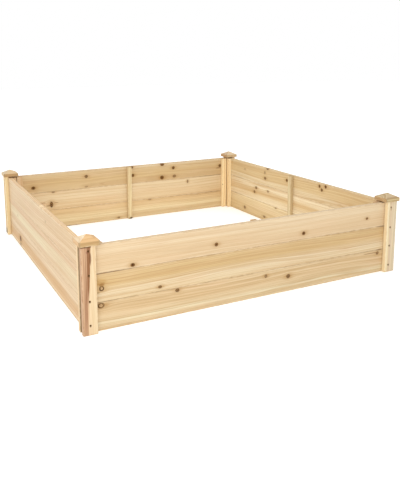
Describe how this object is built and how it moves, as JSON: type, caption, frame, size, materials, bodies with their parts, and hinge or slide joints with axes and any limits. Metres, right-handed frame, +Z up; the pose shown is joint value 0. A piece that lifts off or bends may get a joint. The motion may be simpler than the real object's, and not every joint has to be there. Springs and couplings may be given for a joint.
{
  "type": "raised garden bed",
  "caption": "Square bottomless raised garden bed of stacked boards with inside battens, nailed corner strips and low pyramid post caps.",
  "frame": {"origin": "centre of the bed's outline, on the ground plane that the lowest boards and the corner uprights stand on", "axes": "+Z up; X along the front and back walls, with the front wall on -Y; Y along the left and right walls, with the left wall on -X"},
  "size_m": [1.22, 1.22, 0.2993],
  "materials": {
    "boards": "planed, untreated, pale straw to pinkish tan with brown knots",
    "battens": "planed, untreated, paler than the boards",
    "corner_strips": "planed, untreated, one strip half reddish heartwood",
    "post_caps": "sawn and sanded, untreated",
    "nails": "dull, slightly sunk heads"
  },
  "bodies": {
    "root": {"back_board_lower": "boards", "back_board_middle": "boards", "back_board_upper": "boards", "back_end_batten_left": "battens", "back_end_batten_right": "battens", "back_mid_batten": "battens", "corner_strip_back_left": "corner_strips", "corner_strip_back_right": "corner_strips", "corner_strip_front_left": "corner_strips", "corner_strip_front_right": "corner_strips", "front_board_lower": "boards", "front_board_middle": "boards", "front_board_upper": "boards", "front_end_batten_left": "battens", "front_end_batten_right": "battens", "front_mid_batten": "battens", "left_board_lower": "boards", "left_board_middle": "boards", "left_board_upper": "boards", "left_end_batten_back": "battens", "left_end_batten_front": "battens", "left_mid_batten": "battens", "nail_back_left_1": "nails", "nail_back_left_2": "nails", "nail_back_left_3": "nails", "nail_back_left_4": "nails", "nail_back_right_1": "nails", "nail_back_right_2": "nails", "nail_back_right_3": "nails", "nail_back_right_4": "nails", "nail_front_left_1": "nails", "nail_front_left_2": "nails", "nail_front_left_3": "nails", "nail_front_left_4": "nails", "nail_front_right_1": "nails", "nail_front_right_2": "nails", "nail_front_right_3": "nails", "nail_front_right_4": "nails", "outer_batten_back_left": "battens", "outer_batten_back_right": "battens", "outer_batten_front_left": "battens", "outer_batten_front_right": "battens", "post_cap_back_left": "post_caps", "post_cap_back_right": "post_caps", "post_cap_front_left": "post_caps", "post_cap_front_right": "post_caps", "right_board_lower": "boards", "right_board_middle": "boards", "right_board_upper": "boards", "right_end_batten_back": "battens", "right_end_batten_front": "battens", "right_mid_batten": "battens"}
  },
  "joints": []
}
